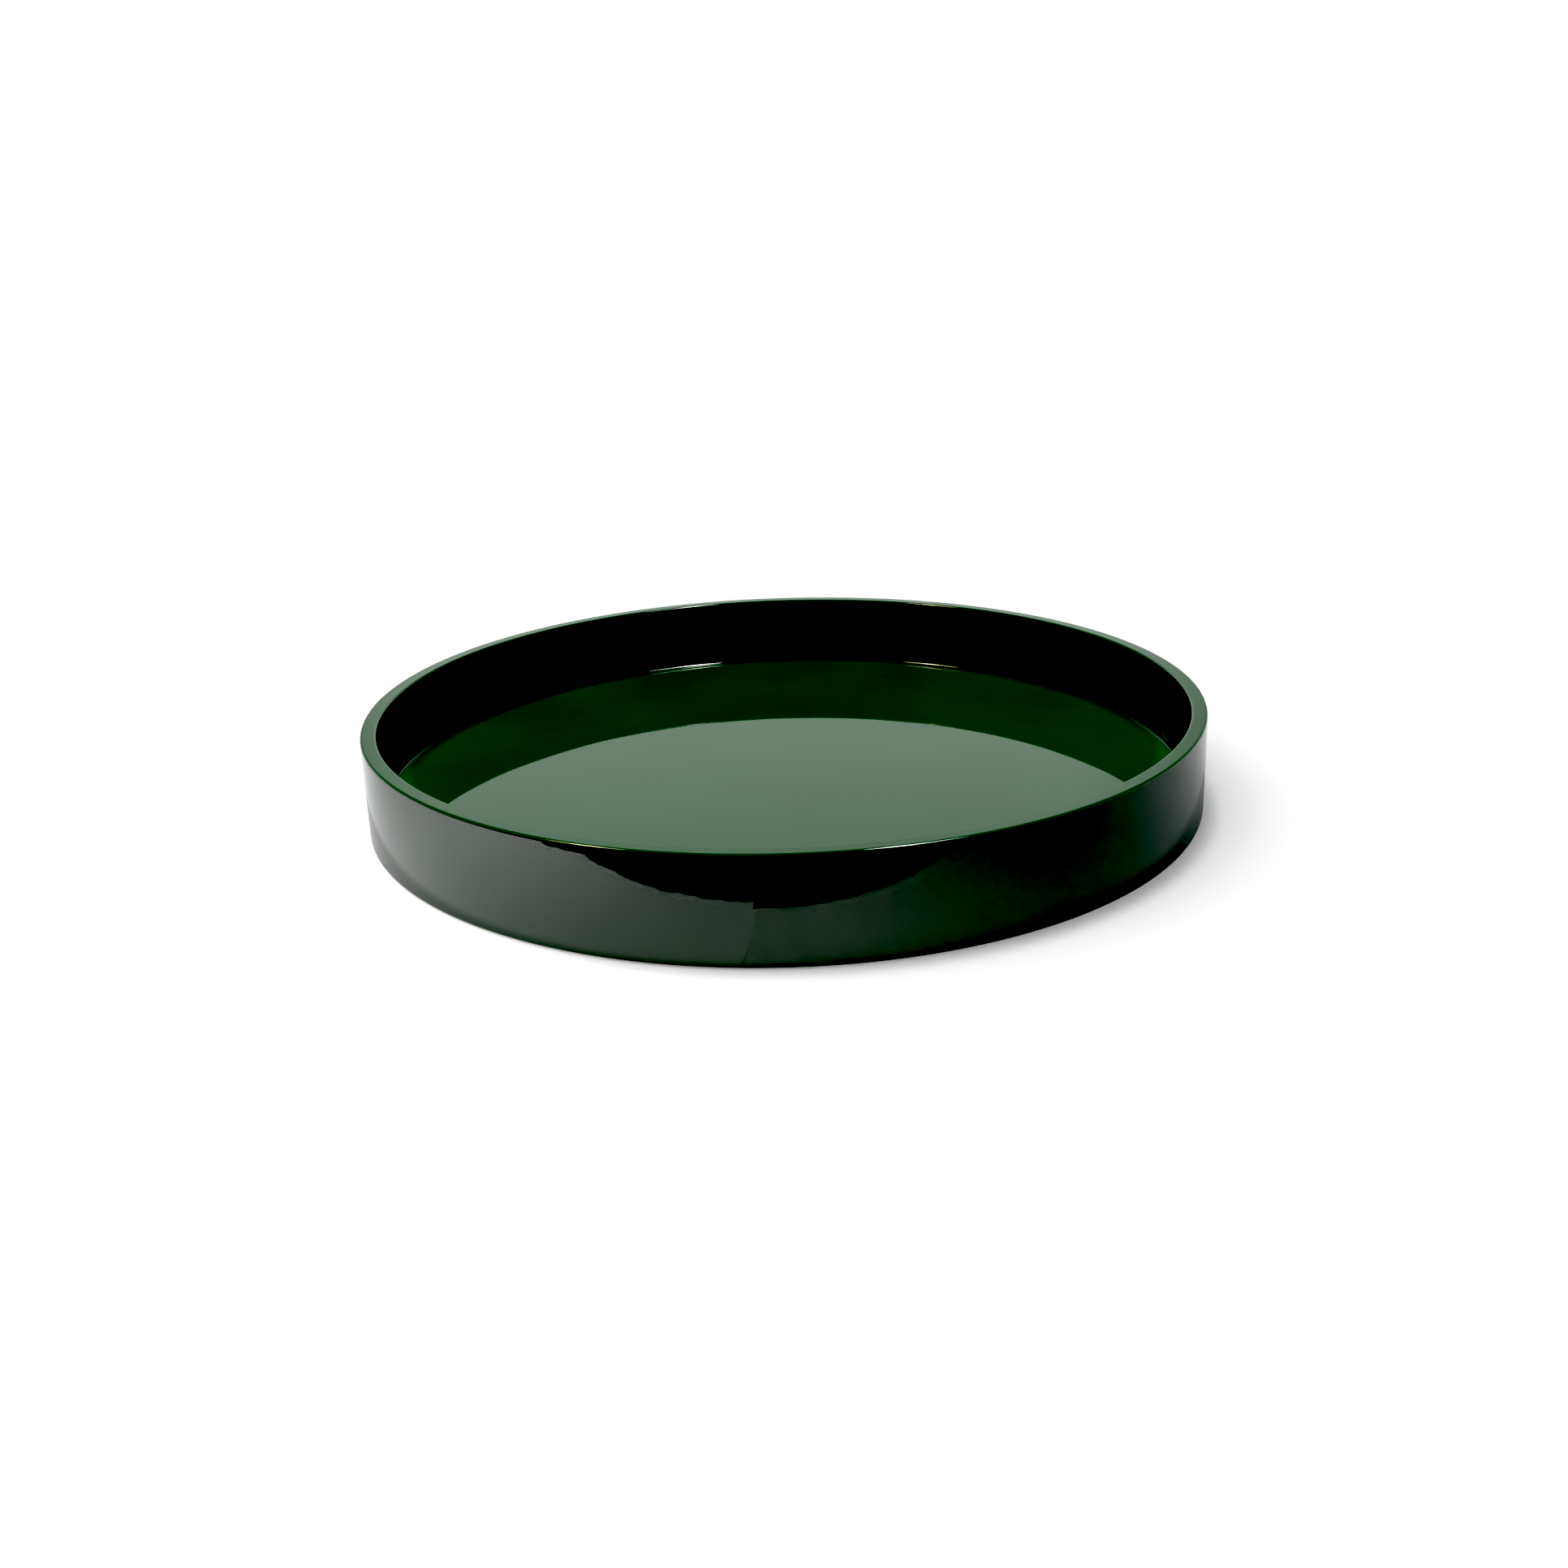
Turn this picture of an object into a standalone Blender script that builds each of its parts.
"""Round lacquered serving tray: a bent three-ply rim round a pinned base panel, under one coat of lacquer.

Metres, +Z up. The origin is the middle of the underside, where the felt meets the table, and -Y is the front.
Neighbouring pieces keep GLUE_GAP between them, which stands for the film of glue that holds them together.
"""

import math

import bmesh
import bpy
from mathutils import Matrix

# Driving dimensions of the finished tray.
OUTER_RADIUS = 0.190
TRAY_HEIGHT = 0.044
WALL_THICKNESS = 0.007
FLOOR_TOP = 0.008
EDGE_RADIUS = 0.001
COVE_RADIUS = 0.002

# The skins: the lacquer with its filler ground, and the felt under the base.
COAT_THICKNESS = 0.0006
GLUE_GAP = 0.0003
FELT_PROUD = 0.0004
UNDERSIDE_MARGIN = 0.008
FELT_EDGE = 0.0002

# The bent strips of the rim, from the inside out, and where each one's scarf joint lies.
PLY_SCARFS = {"rim_inner_ply": 330.0, "rim_core_ply": 210.0, "rim_outer_ply": 90.0}
SCARF_SLOPE = math.radians(9.0)
SCARF_CUT_LENGTH = 0.024

# Headed pins, driven through the outer ply into the edge of the base panel.
PIN_COUNT = 12
PIN_LENGTH = 0.012
PIN_RADIUS = 0.0006
PIN_HEAD_RADIUS = 0.0011
PIN_HEAD_HEIGHT = 0.0005
PIN_POINT_LENGTH = 0.002
PIN_SUNK = 0.0002

# How finely round shapes are divided.
RING_STEPS = 96
ARC_STEPS = 4
PIN_STEPS = 12

# Radii and heights that follow from the above.
INNER_RADIUS = OUTER_RADIUS - WALL_THICKNESS
COAT_BOTTOM = FELT_PROUD
FELT_THICKNESS = FELT_PROUD + COAT_THICKNESS
WOOD_BOTTOM = FELT_THICKNESS + GLUE_GAP
WOOD_TOP = TRAY_HEIGHT - COAT_THICKNESS - GLUE_GAP
PANEL_TOP = FLOOR_TOP - COAT_THICKNESS - GLUE_GAP
PLY_INNER_RADIUS = INNER_RADIUS + COAT_THICKNESS + GLUE_GAP
PLY_OUTER_RADIUS = OUTER_RADIUS - COAT_THICKNESS - GLUE_GAP
PLY_THICKNESS = (PLY_OUTER_RADIUS - PLY_INNER_RADIUS - 2 * GLUE_GAP) / 3
PANEL_RADIUS = PLY_OUTER_RADIUS - PLY_THICKNESS - GLUE_GAP
LIP_RADIUS = OUTER_RADIUS - UNDERSIDE_MARGIN
FELT_RADIUS = LIP_RADIUS - GLUE_GAP
PIN_HEIGHT = (WOOD_BOTTOM + PANEL_TOP) / 2
PIN_HEAD_AT = PLY_OUTER_RADIUS - PIN_SUNK


def clear_scene():
    """Removes every object, so that the script can be run again."""
    for obj in list(bpy.data.objects):
        bpy.data.objects.remove(obj)


def material(name, colour, roughness, metallic=0.0):
    """A plain Principled BSDF in one colour."""
    made = bpy.data.materials.new(name)
    made.use_nodes = True
    shader = made.node_tree.nodes["Principled BSDF"]
    shader.inputs["Base Color"].default_value = (*colour, 1.0)
    shader.inputs["Roughness"].default_value = roughness
    shader.inputs["Metallic"].default_value = metallic
    return made


def arc(centre, radius, start, end):
    """Points (r, z) on an arc about centre, from the angle start to the angle end, in degrees."""
    turns = [math.radians(start + (end - start) * i / ARC_STEPS) for i in range(ARC_STEPS + 1)]
    return [(centre[0] + radius * math.cos(t), centre[1] + radius * math.sin(t)) for t in turns]


def turned(profile, steps=RING_STEPS):
    """A bmesh of the closed outline of (r, z) points, turned round the Z axis."""
    bm = bmesh.new()
    verts = [bm.verts.new((r, 0.0, z)) for r, z in profile]
    edges = [bm.edges.new((a, b)) for a, b in zip(verts, verts[1:] + verts[:1])]
    bmesh.ops.spin(
        bm, geom=verts + edges, cent=(0, 0, 0), axis=(0, 0, 1), angle=math.tau, steps=steps, use_merge=True
    )
    bmesh.ops.remove_doubles(bm, verts=bm.verts, dist=1e-7)
    on_axis = [e for e in bm.edges if not e.link_faces]
    bmesh.ops.delete(bm, geom=on_axis, context="EDGES")
    bmesh.ops.recalc_face_normals(bm, faces=bm.faces)
    return bm


def mesh_from(bm, name):
    """A smooth-shaded mesh from bm, which is freed."""
    mesh = bpy.data.meshes.new(name)
    bm.to_mesh(mesh)
    bm.free()
    mesh.shade_smooth()
    mesh.set_sharp_from_angle(angle=math.radians(30))
    return mesh


def add_object(name, mesh, finish=None):
    """An object of this mesh, linked to the scene."""
    obj = bpy.data.objects.new(name, mesh)
    bpy.context.scene.collection.objects.link(obj)
    if finish:
        mesh.materials.clear()
        mesh.materials.append(finish)
    return obj


def add_cutter(name, bm):
    """A helper that only cuts others: it isn't a piece of the tray."""
    obj = add_object(name, mesh_from(bm, name))
    obj.hide_render = True
    obj.display_type = "WIRE"
    return obj


def cut(target, cutter):
    """Takes the cutter's shape out of the target."""
    modifier = target.modifiers.new(cutter.name, "BOOLEAN")
    modifier.operation = "DIFFERENCE"
    modifier.solver = "EXACT"
    modifier.object = cutter


def pin_angles():
    """The directions of the pins round the tray, half a step off the axes."""
    step = math.tau / PIN_COUNT
    return [step * (i + 0.5) for i in range(PIN_COUNT)]


def along_radius(angle, distance, height):
    """Turns a shape that stands on the Z axis so that it points inwards at this distance and height."""
    return (
        Matrix.Rotation(angle, 4, "Z")
        @ Matrix.Translation((distance, 0.0, height))
        @ Matrix.Rotation(-math.pi / 2, 4, "Y")
    )


def pin_holes(name, radius, outer, inner):
    """A cutter for one round hole per pin, running from the radius outer in to the radius inner."""
    bm = bmesh.new()
    for angle in pin_angles():
        place = along_radius(angle, (outer + inner) / 2, PIN_HEIGHT)
        bmesh.ops.create_cone(
            bm, cap_ends=True, segments=PIN_STEPS, radius1=radius, radius2=radius, depth=outer - inner, matrix=place
        )
    return add_cutter(name, bm)


def lacquer_coat(finish):
    """The skin of filler and lacquer: round the wall, over the rim, down the well and across its floor."""
    edge, cove = EDGE_RADIUS, COVE_RADIUS
    outside = [
        (LIP_RADIUS, COAT_BOTTOM),
        *arc((OUTER_RADIUS - edge, COAT_BOTTOM + edge), edge, -90, 0),
        *arc((OUTER_RADIUS - edge, TRAY_HEIGHT - edge), edge, 0, 90),
        *arc((INNER_RADIUS + edge, TRAY_HEIGHT - edge), edge, 90, 180),
        *arc((INNER_RADIUS - cove, FLOOR_TOP + cove), cove, 0, -90),
        (0.0, FLOOR_TOP),
    ]
    back_inner, back_outer = INNER_RADIUS + COAT_THICKNESS, OUTER_RADIUS - COAT_THICKNESS
    back_top, back_floor = TRAY_HEIGHT - COAT_THICKNESS, FLOOR_TOP - COAT_THICKNESS
    inside = [
        (0.0, back_floor),
        (back_inner, back_floor),
        (back_inner, back_top),
        (back_outer, back_top),
        (back_outer, FELT_THICKNESS),
        (LIP_RADIUS, FELT_THICKNESS),
    ]
    return add_object("lacquer_coat", mesh_from(turned(outside + inside), "lacquer_coat"), finish)


def scarf_cutter(name, radius, degrees):
    """A thin slab that crosses a ply at a shallow slope, and leaves its two tapered ends a glue line apart."""
    bm = bmesh.new()
    bmesh.ops.create_cube(bm, size=1.0)
    bmesh.ops.scale(bm, vec=(SCARF_CUT_LENGTH, GLUE_GAP, 2 * TRAY_HEIGHT), verts=bm.verts)
    place = (
        Matrix.Rotation(math.radians(degrees), 4, "Z")
        @ Matrix.Translation((radius, 0.0, TRAY_HEIGHT / 2))
        @ Matrix.Rotation(math.pi / 2 + SCARF_SLOPE, 4, "Z")
    )
    bmesh.ops.transform(bm, matrix=place, verts=bm.verts)
    return add_cutter(f"{name}_scarf", bm)


def rim_plies(finish):
    """The rim's three strips, each bent to a hoop and scarfed. The outer one also reaches down round the panel."""
    plies = {}
    for i, (name, degrees) in enumerate(PLY_SCARFS.items()):
        inner = PLY_INNER_RADIUS + i * (PLY_THICKNESS + GLUE_GAP)
        outer = inner + PLY_THICKNESS
        bottom = WOOD_BOTTOM if name == "rim_outer_ply" else PANEL_TOP + GLUE_GAP
        profile = [(inner, bottom), (outer, bottom), (outer, WOOD_TOP), (inner, WOOD_TOP)]
        plies[name] = add_object(name, mesh_from(turned(profile), name), finish)
        cut(plies[name], scarf_cutter(name, (inner + outer) / 2, degrees))
    return plies


def base_panel(finish):
    """The round board that carries the load, seated under the two inner plies."""
    profile = [(0.0, WOOD_BOTTOM), (PANEL_RADIUS, WOOD_BOTTOM), (PANEL_RADIUS, PANEL_TOP), (0.0, PANEL_TOP)]
    return add_object("base_panel", mesh_from(turned(profile), "base_panel"), finish)


def felt_lining(finish):
    """The felt disc under the base: it stands a little proud of the lacquered edge, and the tray rests on it."""
    profile = [
        (0.0, 0.0),
        (FELT_RADIUS - FELT_EDGE, 0.0),
        (FELT_RADIUS, FELT_EDGE),
        (FELT_RADIUS, FELT_THICKNESS),
        (0.0, FELT_THICKNESS),
    ]
    return add_object("felt_lining", mesh_from(turned(profile), "felt_lining"), finish)


def panel_pins(finish):
    """The pins, which share one mesh: a flat head, a round shank and a drawn point."""
    profile = [
        (0.0, 0.0),
        (PIN_HEAD_RADIUS, 0.0),
        (PIN_HEAD_RADIUS, PIN_HEAD_HEIGHT),
        (PIN_RADIUS, PIN_HEAD_HEIGHT),
        (PIN_RADIUS, PIN_LENGTH - PIN_POINT_LENGTH),
        (0.0, PIN_LENGTH),
    ]
    mesh = mesh_from(turned(profile, PIN_STEPS), "panel_pin")
    for number, angle in enumerate(pin_angles(), start=1):
        pin = add_object(f"panel_pin_{number:02d}", mesh, finish)
        pin.matrix_world = along_radius(angle, PIN_HEAD_AT, PIN_HEIGHT)


def drill_for_pins(outer_ply, panel):
    """A hole for each head in the outer ply, and a blind hole for each shank in the panel's edge."""
    past_ply = OUTER_RADIUS
    behind_ply = PANEL_RADIUS - GLUE_GAP
    deepest = PIN_HEAD_AT - PIN_LENGTH - GLUE_GAP
    cut(outer_ply, pin_holes("head_holes", PIN_HEAD_RADIUS + GLUE_GAP, past_ply, behind_ply))
    cut(panel, pin_holes("shank_holes", PIN_RADIUS + GLUE_GAP, past_ply, deepest))


def main():
    clear_scene()
    green_lacquer = material("green_lacquer", (0.004, 0.042, 0.012), 0.06)
    birch = material("birch_ply", (0.62, 0.46, 0.29), 0.6)
    board = material("fibre_board", (0.36, 0.25, 0.15), 0.75)
    steel = material("pin_steel", (0.55, 0.55, 0.56), 0.35, 1.0)
    black_felt = material("black_felt", (0.02, 0.02, 0.02), 0.95)

    lacquer_coat(green_lacquer)
    plies = rim_plies(birch)
    panel = base_panel(board)
    felt_lining(black_felt)
    panel_pins(steel)
    drill_for_pins(plies["rim_outer_ply"], panel)


main()
